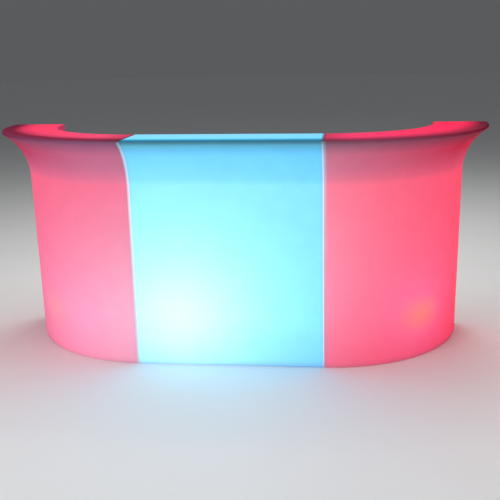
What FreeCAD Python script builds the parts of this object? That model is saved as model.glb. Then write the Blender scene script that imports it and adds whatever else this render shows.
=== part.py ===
import FreeCAD, Part
import math
import os
from FreeCAD import Vector

# Illuminated bar counter: a straight centre module between two quarter-round corner modules.
# Each module is a hollow rotomoulded polyethylene shell with a flared lip, a counter deck for the
# guests, a lower worktop for the bartender and one lamp unit screwed into its rear wall.
# Millimetres, +Z up, origin on the floor at the middle of the plan. The guests stand at -Y.

# Plan and section of the counter. Depths are measured from the lip's tip towards the bartender.
COUNTER_HEIGHT = 1100.0
CENTRE_WIDTH = 900.0
LIP_RADIUS = 820.0
SEAM_GAP = 1.0
BASE_SETBACK = 138.0
WALL_LEAN_DEG = 0.9
LIP_ANGLE_DEG = 34.0
LIP_NOSE_RADIUS = 9.0
FLARE_LAND = 2.0
DECK_DEPTH = 280.0
WORKTOP_DROP = 200.0
BODY_DEPTH = 450.0
DECK_EDGE_RADIUS = 14.0
WORKTOP_CORNER_RADIUS = 14.0
WORKTOP_EDGE_RADIUS = 14.0
BASE_EDGE_RADIUS = 10.0
END_EDGE_RADIUS = 6.0
WALL = 5.0

# Rubber foot pads under the shells.
FOOT_HEIGHT = 4.0
FOOT_RADIUS = 25.0
FOOT_INSET = 45.0
FOOT_CHAMFER = 1.0
FOOT_END_DISTANCE = 70.0

# Steel joining plates, let into the worktop across each seam.
PLATE_LENGTH = 160.0
PLATE_WIDTH = 56.0
PLATE_THICKNESS = 4.0
PLATE_CORNER_RADIUS = 8.0
PLATE_CLEARANCE = 0.5
PLATE_HOLES_FROM_SEAM = (25.0, 60.0)
PLATE_SCREW_HEAD_RADIUS = 6.0
PLATE_SCREW_HEAD_HEIGHT = 3.0
PLATE_SCREW_SHANK_RADIUS = 2.4
PLATE_SCREW_LENGTH = 15.0
PLATE_SCREW_SOCKET = 4.0
PLATE_SCREW_SOCKET_DEPTH = 2.0
PLATE_INSERT_RADIUS = 5.0
PLATE_INSERT_BORE_RADIUS = 2.5
PLATE_INSERT_LENGTH = 14.0

# Moulded bosses that hold the brass inserts.
BOSS_WALL = 4.0
BOSS_FLOOR = 3.0
INSERT_CLEARANCE = 0.05
SCREW_CLEARANCE = 0.75
COUNTERSINK_CLEARANCE = 0.1

# Lamp units: a flat moulded pad in the rear wall with a round hole, and what is screwed to it.
LAMP_HEIGHT = 240.0
CENTRE_LAMP_FROM_SEAM = 230.0
CORNER_LAMP_SWEEP_DEG = 45.0
PAD_RADIUS = 115.0
PAD_PROUD = 4.0
PAD_EDGE_RADIUS = 3.0
LAMP_HOLE_RADIUS = 83.0
GASKET_THICKNESS = 2.0
GASKET_EDGE = 2.0
FLANGE_RADIUS = 103.0
FLANGE_THICKNESS = 5.0
FLANGE_EDGE_RADIUS = 2.0
CAN_RADIUS = 75.0
CAN_WALL = 6.0
CAN_DEPTH = 64.0
BOARD_LEDGE = 3.0
BOARD_POCKET = 6.0
BOARD_THICKNESS = 2.0
BOARD_CLEARANCE = 0.5
DOME_HEIGHT = 42.0
DOME_WALL = 2.5
DOME_SPIGOT_WALL = 3.0
DOME_SPIGOT_GAP = 0.2
LED_SIZE = 5.0
LED_HEIGHT = 1.4
LED_RINGS = 3
LED_RING_PITCH = 20.0
FIRST_RING_CHIPS = 6
LAMP_SCREWS = 6
LAMP_SCREW_CIRCLE_RADIUS = 94.0
LAMP_SCREW_SHANK_RADIUS = 2.0
LAMP_SCREW_LENGTH = 17.0
LAMP_SCREW_HEAD_RADIUS = 4.6
LAMP_SCREW_HEAD_HEIGHT = 3.0
LAMP_SCREW_SOCKET = 3.0
LAMP_SCREW_SOCKET_DEPTH = 1.8
LAMP_INSERT_RADIUS = 4.0
LAMP_INSERT_BORE_RADIUS = 2.1
LAMP_INSERT_LENGTH = 12.0

# What the lamp's can holds. Places on the flange are right and up as the bartender sees them.
BATTERY_SIZE = (76.0, 40.0, 38.0)
BATTERY_BELOW_AXIS = 10.0
BATTERY_EDGE_RADIUS = 6.0
BATTERY_RIB = 2.0
BATTERY_RIB_HEIGHT = 12.0
BATTERY_RIB_GAP = 0.3
CONTROL_SIZE = (40.0, 50.0, 1.6)
CONTROL_ABOVE_AXIS = 5.0
CONTROL_STANDOFF_RADIUS = 3.0
CONTROL_STANDOFF_HEIGHT = 8.0
CONTROL_STANDOFF_INSET = 4.0
RADIO_SIZE = (16.0, 14.0, 3.0)
RADIO_OFFSET = (-7.0, 12.0)
DRIVER_SIZE = (10.0, 10.0, 1.6)
DRIVER_OFFSET = (9.0, 0.0)
TERMINAL_SIZE = (14.0, 8.0, 9.0)
TERMINAL_OFFSET = (0.0, -16.0)
LEAD_RADIUS = 2.5
LEAD_SIDE_STEP = 12.0
LEAD_BEND_RADIUS = 9.0

# Push button, charging socket and its hinged cover on the lamp's flange.
BUTTON_PLACE = (-36.0, 22.0)
BUTTON_RADIUS = 6.0
BUTTON_PROUD = 3.0
BUTTON_LENGTH = 14.0
BUTTON_TRAVEL = 2.0
BUTTON_CLEARANCE = 0.2
BUTTON_EDGE_RADIUS = 1.0
BUTTON_END_ROOM = 2.0
BEZEL_RADIUS = 11.0
BEZEL_HEIGHT = 2.0
BEZEL_EDGE_RADIUS = 0.8
SWITCH_BARREL_WALL = 1.6
SWITCH_FLOOR = 8.0
SOCKET_PLACE = (36.0, 22.0)
SOCKET_BORE_RADIUS = 3.15
SOCKET_BORE_DEPTH = 11.5
SOCKET_PIN_RADIUS = 1.0
SOCKET_PIN_RECESS = 1.0
SOCKET_BARREL_RADIUS = 6.0
SOCKET_BARREL_LENGTH = 19.0
SOCKET_FLANGE_RADIUS = 8.0
SOCKET_FLANGE_HEIGHT = 1.5
PANEL_HOLE_CLEARANCE = 0.2
NUT_THICKNESS = 3.5
NUT_RIM = 2.6
FLAP_WIDTH = 24.0
FLAP_BELOW_SOCKET = 11.0
FLAP_HINGE_ABOVE_SOCKET = 16.0
FLAP_THICKNESS = 2.7
FLAP_GAP = 0.6
FLAP_CORNER_RADIUS = 4.0
KNUCKLE_RADIUS = 2.4
FLAP_PIN_RADIUS = 1.0
FLAP_PIN_CLEARANCE = 0.07
LUG_PIN_CLEARANCE = 0.02
LUG_THICKNESS = 3.0
LUG_SIDE_CLEARANCE = 0.4
LUG_RADIUS = 3.0

# Values that follow from the sizes above.
FRONT_Y = -LIP_RADIUS / 2
ARC_Y = FRONT_Y + LIP_RADIUS
SEAM_X = CENTRE_WIDTH / 2
WORKTOP_HEIGHT = COUNTER_HEIGHT - WORKTOP_DROP
CENTRE_LAMP_X = CENTRE_LAMP_FROM_SEAM - SEAM_X
REAR_RADIUS = LIP_RADIUS - BODY_DEPTH
PLATE_DEPTH = (DECK_DEPTH + BODY_DEPTH) / 2
POCKET_FLOOR = WORKTOP_HEIGHT - PLATE_THICKNESS
FLANGE_FACE = GASKET_THICKNESS + FLANGE_THICKNESS
FLANGE_BACK = GASKET_THICKNESS
BOARD_SEAT = -(CAN_DEPTH - BOARD_POCKET)
BOARD_FRONT = BOARD_SEAT - BOARD_THICKNESS
CAN_MOUTH_RADIUS = CAN_RADIUS - CAN_WALL + BOARD_LEDGE
BATTERY_PLACE = (0.0, -BATTERY_BELOW_AXIS - BATTERY_SIZE[1] / 2)
CONTROL_PLACE = (0.0, CONTROL_ABOVE_AXIS + CONTROL_SIZE[1] / 2)
CONTROL_BACK = FLANGE_BACK - CONTROL_STANDOFF_HEIGHT
CONTROL_FRONT = CONTROL_BACK - CONTROL_SIZE[2]
BEZEL_FACE = FLANGE_FACE + BEZEL_HEIGHT
BUTTON_TOP = BEZEL_FACE + BUTTON_PROUD
BUTTON_BOTTOM = BUTTON_TOP - BUTTON_LENGTH
BUTTON_BORE_RADIUS = BUTTON_RADIUS + BUTTON_CLEARANCE
BUTTON_BORE_FLOOR = BUTTON_BOTTOM - BUTTON_TRAVEL - BUTTON_END_ROOM
SWITCH_BARREL_RADIUS = BUTTON_BORE_RADIUS + SWITCH_BARREL_WALL
SOCKET_FACE = FLANGE_FACE + SOCKET_FLANGE_HEIGHT
FLAP_BACK = SOCKET_FACE + FLAP_GAP
FLAP_AXIS_W = FLAP_BACK + FLAP_THICKNESS / 2
FLAP_AXIS_V = SOCKET_PLACE[1] + FLAP_HINGE_ABOVE_SOCKET
FAR = 4 * (CENTRE_WIDTH + LIP_RADIUS + COUNTER_HEIGHT)


# Section outlines. A corner is (depth behind the lip, height, rounding radius), clockwise.

def section_corners():
    """Corners of the shell's outer section, from the base's front edge up and round to its rear edge."""
    lip, lean = math.radians(LIP_ANGLE_DEG), math.radians(WALL_LEAN_DEG)
    nose = (LIP_NOSE_RADIUS, COUNTER_HEIGHT - LIP_NOSE_RADIUS)
    start = (nose[0] - LIP_NOSE_RADIUS * math.sin(lip), nose[1] - LIP_NOSE_RADIUS * math.cos(lip))
    # The lip's underside runs down from the nose until it meets the leaning wall at the knee.
    wall_there = BASE_SETBACK - math.tan(lean) * (start[1] - FOOT_HEIGHT)
    run = (wall_there - start[0]) / (math.cos(lip) - math.tan(lean) * math.sin(lip))
    knee = (start[0] + run * math.cos(lip), start[1] - run * math.sin(lip))
    turn = math.pi / 2 - lip - lean
    flare_radius = (run - FLARE_LAND) / math.tan(turn / 2)
    nose_corner = LIP_NOSE_RADIUS - LIP_NOSE_RADIUS / math.tan(lip / 2)
    return [
        (BASE_SETBACK, FOOT_HEIGHT, BASE_EDGE_RADIUS),
        (knee[0], knee[1], flare_radius),
        (nose_corner, COUNTER_HEIGHT, LIP_NOSE_RADIUS),
        (DECK_DEPTH, COUNTER_HEIGHT, DECK_EDGE_RADIUS),
        (DECK_DEPTH, WORKTOP_HEIGHT, WORKTOP_CORNER_RADIUS),
        (BODY_DEPTH, WORKTOP_HEIGHT, WORKTOP_EDGE_RADIUS),
        (BODY_DEPTH, FOOT_HEIGHT, BASE_EDGE_RADIUS),
    ]


def unit(a, b):
    """Unit vector from point a to point b of a section."""
    length = math.hypot(b[0] - a[0], b[1] - a[1])
    return (b[0] - a[0]) / length, (b[1] - a[1]) / length


def inset_corners(corners, distance):
    """The outline moved inwards by distance: outward corners lose that much radius, inward ones gain it."""
    made = []
    for i, (x, z, radius) in enumerate(corners):
        a = unit(corners[i - 1], (x, z))
        b = unit((x, z), corners[(i + 1) % len(corners)])
        cross = a[0] * b[1] - a[1] * b[0]
        along = distance * (1 - a[0] * b[0] - a[1] * b[1]) / cross
        corner = (x + distance * a[1] + along * a[0], z - distance * a[0] + along * a[1])
        made.append((*corner, max(radius + math.copysign(distance, cross), distance / 5)))
    return made


def section_face(corners, x):
    """Flat face of a rounded outline, standing in the plane at that x."""
    edges, previous = [], None
    for i, (d, z, radius) in enumerate(corners):
        a = unit((d, z), corners[i - 1])
        b = unit((d, z), corners[(i + 1) % len(corners)])
        half = math.acos(max(-1.0, min(1.0, a[0] * b[0] + a[1] * b[1]))) / 2
        reach = radius / math.tan(half)
        inner = unit((0, 0), (a[0] + b[0], a[1] + b[1]))
        depth = radius / math.sin(half) - radius
        points = [
            Vector(x, FRONT_Y + d + s[0] * k, z + s[1] * k)
            for s, k in ((a, reach), (inner, depth), (b, reach))
        ]
        if previous:
            edges.append(Part.LineSegment(previous, points[0]).toShape())
        edges.append(Part.Arc(*points).toShape())
        previous = points[2]
    first = edges[0].Vertexes[0].Point
    edges.append(Part.LineSegment(previous, first).toShape())
    return Part.Face(Part.Wire(edges))


# Small shape helpers.

def moved(shape, x=0.0, y=0.0, z=0.0):
    """A copy of the shape, shifted."""
    copy = shape.copy()
    copy.translate(Vector(x, y, z))
    return copy


def disc(radius, low, high, place=(0.0, 0.0)):
    """Upright cylinder from low to high."""
    return Part.makeCylinder(radius, high - low, Vector(place[0], place[1], low))


def ring(outer, inner, low, high, place=(0.0, 0.0)):
    """Upright tube from low to high."""
    return disc(outer, low, high, place).cut(disc(inner, low, high, place))


def block(size, place, low):
    """Box centred on place, standing on low."""
    return Part.makeBox(*size, Vector(place[0] - size[0] / 2, place[1] - size[1] / 2, low))


def hexagon(across_flats, low, high, place=(0.0, 0.0)):
    """Upright hexagonal prism."""
    corners = around(6, across_flats / math.sqrt(3))
    points = [Vector(place[0] + x, place[1] + y, low) for x, y in [*corners, corners[0]]]
    return Part.Face(Part.makePolygon(points)).extrude(Vector(0, 0, high - low))


def edges_where(shape, test):
    """Edges of the shape whose every vertex and middle pass the test."""
    return [e for e in shape.Edges if all(test(p) for p in [*(v.Point for v in e.Vertexes), e.CenterOfMass])]


def near(a, b):
    """True if two lengths agree to a hundredth of a millimetre."""
    return abs(a - b) < 0.01


def round_upright_edges(shape, radius):
    """Fillets the vertical straight edges of a box or slab."""
    upright = [e for e in shape.Edges if near(e.BoundBox.XLength, 0) and near(e.BoundBox.YLength, 0)]
    return shape.makeFillet(radius, upright)


def around(count, radius, start_deg=0.0):
    """Points evenly spaced on a circle."""
    angles = [math.radians(start_deg + 360.0 * k / count) for k in range(count)]
    return [(radius * math.cos(a), radius * math.sin(a)) for a in angles]


def mirrored(shape):
    """The shape on the other side of the counter's middle plane."""
    return shape.mirror(Vector(0, 0, 0), Vector(1, 0, 0))


# Places on the counter.

def lamp_placement(side):
    """Frame of a lamp unit on its pad: x right, y up and z out of the wall, as the bartender sees it."""
    if side == "centre":
        out = Vector(0, 1, 0)
        origin = Vector(CENTRE_LAMP_X, FRONT_Y + BODY_DEPTH + PAD_PROUD, LAMP_HEIGHT)
    else:
        sign = 1 if side == "right" else -1
        sweep = math.radians(CORNER_LAMP_SWEEP_DEG)
        out = Vector(-sign * math.sin(sweep), math.cos(sweep), 0)
        origin = Vector(sign * SEAM_X, ARC_Y, LAMP_HEIGHT) - out * corner_pad_distance()
    up = Vector(0, 0, 1)
    right = up.cross(out)
    matrix = FreeCAD.Matrix(
        right.x, up.x, out.x, origin.x,
        right.y, up.y, out.y, origin.y,
        right.z, up.z, out.z, origin.z,
        0, 0, 0, 1)
    return FreeCAD.Placement(matrix)


def corner_pad_distance():
    """Distance of a corner's lamp pad from the corner's axis, so that it is proud of the curved wall."""
    return math.sqrt(REAR_RADIUS ** 2 - PAD_RADIUS ** 2) - PAD_PROUD


def placed(shape, side):
    """A copy of a lamp piece, moved from the lamp's own frame to its module."""
    copy = shape.copy()
    copy.Placement = lamp_placement(side).multiply(copy.Placement)
    return copy


def pocket_frames(side):
    """(point at a module's end, direction into the module) for each end that has a plate pocket."""
    y = FRONT_Y + PLATE_DEPTH
    seam = Vector(SEAM_X, y, 0)
    if side == "centre":
        return [(seam, Vector(-1, 0, 0)), (Vector(-SEAM_X, y, 0), Vector(1, 0, 0))]
    free_end = Vector(SEAM_X + LIP_RADIUS - PLATE_DEPTH, ARC_Y, 0)
    return [(seam, Vector(1, 0, 0)), (free_end, Vector(0, -1, 0))]


def slab(frame, length, width, low, high):
    """Box from a module's end inwards, centred on the plate's line."""
    origin, inwards = frame
    box = Part.makeBox(length, width, high - low, Vector(0, -width / 2, low))
    box.rotate(Vector(0, 0, 0), Vector(0, 0, 1), math.degrees(math.atan2(inwards.y, inwards.x)))
    return moved(box, origin.x, origin.y)


def plate_hole_points(frame):
    """Centres of the insert holes of one plate pocket."""
    origin, inwards = frame
    return [origin + inwards * distance for distance in PLATE_HOLES_FROM_SEAM]


# Shells.

def plate_features(side):
    """(pockets to cut from the worktop, solid stock to keep under them, insert holes) for one module."""
    pockets, stock, holes = [], [], []
    hole_floor = POCKET_FLOOR - PLATE_INSERT_LENGTH
    half = PLATE_LENGTH / 2 + PLATE_CLEARANCE
    width = PLATE_WIDTH + 2 * PLATE_CLEARANCE
    for frame in pocket_frames(side):
        pockets.append(slab(frame, half, width, POCKET_FLOOR, WORKTOP_HEIGHT + PLATE_THICKNESS))
        stock.append(slab(frame, half + WALL, width + 2 * WALL, POCKET_FLOOR - WALL, WORKTOP_HEIGHT))
        for p in plate_hole_points(frame):
            place = (p.x, p.y)
            stock.append(disc(PLATE_INSERT_RADIUS + BOSS_WALL, hole_floor - BOSS_FLOOR, POCKET_FLOOR, place))
            holes.append(disc(PLATE_INSERT_RADIUS + INSERT_CLEARANCE, hole_floor, POCKET_FLOOR, place))
    return pockets, stock, holes


def lamp_features(side):
    """(pad, hollow behind it, insert bosses, holes to cut) of one module's lamp seat."""
    rise = PAD_PROUD if side == "centre" else REAR_RADIUS - corner_pad_distance()
    pad = disc(PAD_RADIUS, -(rise + WALL / 2), 0)
    rim = [e for e in pad.Edges if near(e.BoundBox.ZMax, 0) and near(e.BoundBox.ZLength, 0)]
    pad = pad.makeFillet(PAD_EDGE_RADIUS, rim)
    hollow = disc(PAD_RADIUS - WALL, -(rise + 2 * WALL), -WALL)
    bosses, holes = [], [disc(LAMP_HOLE_RADIUS, -(rise + 2 * WALL), 0)]
    for place in lamp_screw_places():
        bosses.append(disc(LAMP_INSERT_RADIUS + BOSS_WALL, -(LAMP_INSERT_LENGTH + BOSS_FLOOR), 0, place))
        holes.append(disc(LAMP_INSERT_RADIUS + INSERT_CLEARANCE, -LAMP_INSERT_LENGTH, 0, place))
    return [[placed(s, side) for s in group] for group in ([pad], [hollow], bosses, holes)]


def end_edge_radius():
    """Rounding of a module's end edges, limited by the lip's nose that it runs round."""
    return min(END_EDGE_RADIUS, 0.9 * LIP_NOSE_RADIUS)


def hollowed(outer, cavity, side):
    """A module's shell: its outer form less its hollow, with the lamp seat and the plate pockets."""
    pads, pad_hollows, bosses, lamp_holes = lamp_features(side)
    pockets, stock, insert_holes = plate_features(side)
    hollow = cavity.fuse(pad_hollows).cut(Part.makeCompound(stock)).cut(Part.makeCompound(bosses))
    body = outer.fuse(pads).cut(hollow)
    return body.cut([*pockets, *insert_holes, *lamp_holes]).removeSplitter()


def centre_shell():
    """Straight module between the two seams."""
    start, length = -SEAM_X + SEAM_GAP, CENTRE_WIDTH - 2 * SEAM_GAP
    outer = section_face(section_corners(), start).extrude(Vector(length, 0, 0))
    ends = edges_where(outer, lambda p: near(p.x, start))
    ends += edges_where(outer, lambda p: near(p.x, start + length))
    outer = outer.makeFillet(end_edge_radius(), ends)
    inner = inset_corners(section_corners(), WALL)
    cavity = section_face(inner, start + WALL).extrude(Vector(length - 2 * WALL, 0, 0))
    return hollowed(outer, cavity, "centre")


def right_corner_shell():
    """Quarter-round module from the seam to the counter's open end."""
    axis_point, up, quarter_turn = Vector(SEAM_X, ARC_Y, 0), Vector(0, 0, 1), 90
    outer = section_face(section_corners(), SEAM_X).revolve(axis_point, up, quarter_turn)
    ends = edges_where(outer, lambda p: near(p.x, SEAM_X))
    ends += edges_where(outer, lambda p: near(p.y, ARC_Y))
    outer = outer.makeFillet(end_edge_radius(), ends)
    inner = inset_corners(section_corners(), WALL)
    swept = section_face(inner, SEAM_X).revolve(axis_point, up, quarter_turn)
    within = Part.makeBox(FAR, FAR, FAR, Vector(SEAM_X + WALL, ARC_Y - WALL - FAR, -FAR / 2))
    return hollowed(outer, swept.common(within), "right")


# Feet and joining plates.

def foot_pads():
    """Rubber pads under the three shells, flat on the floor."""
    depths = (BASE_SETBACK + FOOT_INSET, BODY_DEPTH - FOOT_INSET)
    places = [
        (sign * (SEAM_X - FOOT_END_DISTANCE), FRONT_Y + d) for sign in (-1, 1) for d in depths
    ]
    for sign in (-1, 1):
        for d in depths:
            radius = LIP_RADIUS - d
            end = math.asin(FOOT_END_DISTANCE / radius)
            for sweep in (end, math.pi / 2 - end):
                places.append((sign * (SEAM_X + radius * math.sin(sweep)), ARC_Y - radius * math.cos(sweep)))
    pad = disc(FOOT_RADIUS, 0, FOOT_HEIGHT)
    rim = [e for e in pad.Edges if near(e.BoundBox.ZMax, 0)]
    pad = pad.makeChamfer(FOOT_CHAMFER, rim)
    return Part.makeCompound([moved(pad, x, y) for x, y in places])


def seam_hole_points(sign):
    """Centres of a joining plate's screws at the seam on that side."""
    centre, corner = pocket_frames("centre")[0], pocket_frames("right")[0]
    return [Vector(sign * p.x, p.y, 0) for f in (centre, corner) for p in plate_hole_points(f)]


def joining_plate(sign):
    """Steel plate across one seam, flush with the worktop, with countersunk holes."""
    size = (PLATE_LENGTH, PLATE_WIDTH, PLATE_THICKNESS)
    plate = block(size, (sign * SEAM_X, FRONT_Y + PLATE_DEPTH), POCKET_FLOOR)
    plate = round_upright_edges(plate, PLATE_CORNER_RADIUS)
    head_low = WORKTOP_HEIGHT - PLATE_SCREW_HEAD_HEIGHT
    radii = [r + COUNTERSINK_CLEARANCE for r in (PLATE_SCREW_SHANK_RADIUS, PLATE_SCREW_HEAD_RADIUS)]
    countersink = Part.makeCone(*radii, PLATE_SCREW_HEAD_HEIGHT, Vector(0, 0, head_low))
    bore = disc(PLATE_SCREW_SHANK_RADIUS + SCREW_CLEARANCE, POCKET_FLOOR, WORKTOP_HEIGHT)
    return plate.cut([moved(hole, p.x, p.y) for p in seam_hole_points(sign) for hole in (countersink, bore)])


def plate_screws():
    """Countersunk socket screws of both joining plates, flush with the worktop."""
    made = []
    low = WORKTOP_HEIGHT - PLATE_SCREW_HEAD_HEIGHT
    radii = (PLATE_SCREW_SHANK_RADIUS, PLATE_SCREW_HEAD_RADIUS)
    cone = Part.makeCone(*radii, PLATE_SCREW_HEAD_HEIGHT, Vector(0, 0, low))
    shank = disc(PLATE_SCREW_SHANK_RADIUS, WORKTOP_HEIGHT - PLATE_SCREW_LENGTH, low)
    socket = hexagon(PLATE_SCREW_SOCKET, WORKTOP_HEIGHT - PLATE_SCREW_SOCKET_DEPTH, WORKTOP_HEIGHT)
    screw = cone.fuse(shank).cut(socket).removeSplitter()
    for sign in (-1, 1):
        made += [moved(screw, p.x, p.y) for p in seam_hole_points(sign)]
    return Part.makeCompound(made)


def plate_inserts():
    """Brass threaded inserts moulded into the worktops, also those left free at the open ends."""
    low = POCKET_FLOOR - PLATE_INSERT_LENGTH
    insert = ring(PLATE_INSERT_RADIUS, PLATE_INSERT_BORE_RADIUS, low, POCKET_FLOOR)
    points = [p for sign in (-1, 1) for p in seam_hole_points(sign)]
    for sign in (-1, 1):
        points += [Vector(sign * p.x, p.y, 0) for p in plate_hole_points(pocket_frames("right")[1])]
    return Part.makeCompound([moved(insert, p.x, p.y) for p in points])


# Lamp unit, in its own frame: z = 0 on the pad's face, the bartender at +z, the hollow shell at -z.

def lamp_screw_places():
    """Screws of the lamp's flange, on a circle."""
    return around(LAMP_SCREWS, LAMP_SCREW_CIRCLE_RADIUS, 90.0)


def gasket():
    """Rubber ring between the pad and the flange."""
    made = ring(FLANGE_RADIUS - GASKET_EDGE, LAMP_HOLE_RADIUS + GASKET_EDGE, 0, GASKET_THICKNESS)
    bore = LAMP_SCREW_SHANK_RADIUS + SCREW_CLEARANCE
    return made.cut([disc(bore, 0, GASKET_THICKNESS, p) for p in lamp_screw_places()])


def hinge_lugs():
    """Two ears on the flange that hold the socket cover's pin."""
    ears = []
    for sign in (-1, 1):
        inner = SOCKET_PLACE[0] + sign * (FLAP_WIDTH / 2 + LUG_SIDE_CLEARANCE)
        low = min(inner, inner + sign * LUG_THICKNESS)
        foot = Part.makeBox(
            LUG_THICKNESS, 2 * LUG_RADIUS, FLAP_AXIS_W - FLANGE_FACE,
            Vector(low, FLAP_AXIS_V - LUG_RADIUS, FLANGE_FACE))
        along = Vector(1, 0, 0)
        head = Part.makeCylinder(LUG_RADIUS, LUG_THICKNESS, Vector(low, FLAP_AXIS_V, FLAP_AXIS_W), along)
        hole = FLAP_PIN_RADIUS + LUG_PIN_CLEARANCE
        bore = Part.makeCylinder(hole, LUG_THICKNESS, Vector(low, FLAP_AXIS_V, FLAP_AXIS_W), along)
        ears.append(foot.fuse(head).cut(bore))
    return ears


def control_standoffs():
    """Centres of the four pillars under the control board."""
    x, y = CONTROL_PLACE
    reach_x, reach_y = [CONTROL_SIZE[k] / 2 - CONTROL_STANDOFF_INSET for k in (0, 1)]
    return [(x + a * reach_x, y + b * reach_y) for a in (-1, 1) for b in (-1, 1)]


def battery_ribs():
    """Two ribs on the flange that hold the battery's ends."""
    reach = BATTERY_SIZE[0] / 2 + BATTERY_RIB_GAP + BATTERY_RIB / 2
    size = (BATTERY_RIB, BATTERY_SIZE[1], BATTERY_RIB_HEIGHT)
    low = FLANGE_BACK - BATTERY_RIB_HEIGHT
    return [block(size, (BATTERY_PLACE[0] + sign * reach, BATTERY_PLACE[1]), low) for sign in (-1, 1)]


def lamp_housing():
    """Moulded flange and can in one: the flange closes the rear, the can's mouth opens into the shell."""
    plate = disc(FLANGE_RADIUS, FLANGE_BACK, FLANGE_FACE)
    rim = [e for e in plate.Edges if near(e.BoundBox.ZMin, FLANGE_FACE)]
    plate = plate.makeFillet(FLANGE_EDGE_RADIUS, rim)
    can = ring(CAN_RADIUS, CAN_RADIUS - CAN_WALL, -CAN_DEPTH, FLANGE_BACK)
    mouth = disc(CAN_MOUTH_RADIUS, -CAN_DEPTH, BOARD_SEAT)
    pillars = [disc(CONTROL_STANDOFF_RADIUS, CONTROL_BACK, FLANGE_BACK, p) for p in control_standoffs()]
    screw_bore = LAMP_SCREW_SHANK_RADIUS + SCREW_CLEARANCE
    bores = [disc(screw_bore, FLANGE_BACK, FLANGE_FACE, p) for p in lamp_screw_places()]
    bores.append(disc(SWITCH_BARREL_RADIUS + PANEL_HOLE_CLEARANCE, FLANGE_BACK, FLANGE_FACE, BUTTON_PLACE))
    bores.append(disc(SOCKET_BARREL_RADIUS + PANEL_HOLE_CLEARANCE, FLANGE_BACK, FLANGE_FACE, SOCKET_PLACE))
    body = plate.fuse([can.cut(mouth), *pillars, *battery_ribs(), *hinge_lugs()])
    return body.cut(bores).removeSplitter()


def led_board():
    """Aluminium-cored disc on the ledge in the can's mouth."""
    return disc(CAN_MOUTH_RADIUS - BOARD_CLEARANCE, BOARD_FRONT, BOARD_SEAT)


def led_chips():
    """Colour-changing light chips on the board, in rings that grow by the same number of chips."""
    size = (LED_SIZE, LED_SIZE, LED_HEIGHT)
    places = []
    for k in range(1, LED_RINGS + 1):
        places += around(k * FIRST_RING_CHIPS, k * LED_RING_PITCH)
    return Part.makeCompound([block(size, p, BOARD_FRONT - LED_HEIGHT) for p in places])


def diffuser_dome():
    """Milky dome on the can's mouth, with a spigot that holds the board on its ledge."""
    def cap(radius, height):
        """Solid spherical cap standing on the can's mouth."""
        ball = (radius ** 2 + height ** 2) / (2 * height)
        sphere = Part.makeSphere(ball, Vector(0, 0, -CAN_DEPTH - height + ball))
        return sphere.common(disc(radius + DOME_WALL, -CAN_DEPTH - height, -CAN_DEPTH))

    shell = cap(CAN_RADIUS, DOME_HEIGHT).cut(cap(CAN_RADIUS - DOME_WALL, DOME_HEIGHT - DOME_WALL))
    outer = CAN_MOUTH_RADIUS - DOME_SPIGOT_GAP
    skirt = ring(CAN_RADIUS, outer - DOME_SPIGOT_WALL, -CAN_DEPTH - DOME_WALL, -CAN_DEPTH)
    skirt = skirt.common(cap(CAN_RADIUS, DOME_HEIGHT))
    spigot = ring(outer, outer - DOME_SPIGOT_WALL, -CAN_DEPTH, BOARD_FRONT - DOME_SPIGOT_GAP)
    return shell.fuse([skirt, spigot]).removeSplitter()


def battery_pack():
    """Rechargeable pack against the flange, its long edges round over the cells."""
    pack = block(BATTERY_SIZE, BATTERY_PLACE, FLANGE_BACK - BATTERY_SIZE[2])
    long_edges = [e for e in pack.Edges if near(e.BoundBox.XLength, BATTERY_SIZE[0])]
    return pack.makeFillet(BATTERY_EDGE_RADIUS, long_edges)


def on_control_board(size, offset):
    """A component on the control board's inner face."""
    place = (CONTROL_PLACE[0] + offset[0], CONTROL_PLACE[1] + offset[1])
    return block(size, place, CONTROL_FRONT - size[2])


def control_board():
    """Circuit board on its pillars, with the radio can, the light driver and the terminal block."""
    board = block(CONTROL_SIZE, CONTROL_PLACE, CONTROL_FRONT)
    pieces = ((RADIO_SIZE, RADIO_OFFSET), (DRIVER_SIZE, DRIVER_OFFSET), (TERMINAL_SIZE, TERMINAL_OFFSET))
    return Part.makeCompound([board, *(on_control_board(*p) for p in pieces)])


def lamp_lead():
    """Lead from the terminal block to the light board: two straight ends joined by an even S-bend."""
    x = CONTROL_PLACE[0] + TERMINAL_OFFSET[0]
    y = CONTROL_PLACE[1] + TERMINAL_OFFSET[1]
    top, bottom = CONTROL_FRONT - TERMINAL_SIZE[2], BOARD_SEAT
    middle = Vector(x + LEAD_SIDE_STEP / 2, y, (top + bottom) / 2)
    # Each half of the bend turns by the same angle, so that it meets the middle in line.
    turn = math.acos(1 - LEAD_SIDE_STEP / (2 * LEAD_BEND_RADIUS))
    drop, side = LEAD_BEND_RADIUS * math.sin(turn), LEAD_SIDE_STEP / 2
    half_drop = LEAD_BEND_RADIUS * math.sin(turn / 2)
    half_side = LEAD_BEND_RADIUS * (1 - math.cos(turn / 2))
    first, last = Vector(x, y, middle.z + drop), Vector(x + 2 * side, y, middle.z - drop)
    path = Part.Wire([
        Part.LineSegment(Vector(x, y, top), first).toShape(),
        Part.Arc(first, first + Vector(half_side, 0, -half_drop), middle).toShape(),
        Part.Arc(middle, last + Vector(-half_side, 0, half_drop), last).toShape(),
        Part.LineSegment(last, Vector(last.x, y, bottom)).toShape(),
    ])
    section = Part.Wire(Part.makeCircle(LEAD_RADIUS, Vector(x, y, top), Vector(0, 0, 1)))
    return path.makePipeShell([section], True, False)


def power_button():
    """Push button cap in the bezel's bore."""
    cap = disc(BUTTON_RADIUS, BUTTON_BOTTOM, BUTTON_TOP, BUTTON_PLACE)
    rim = [e for e in cap.Edges if near(e.BoundBox.ZMin, BUTTON_TOP)]
    return cap.makeFillet(BUTTON_EDGE_RADIUS, rim)


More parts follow.
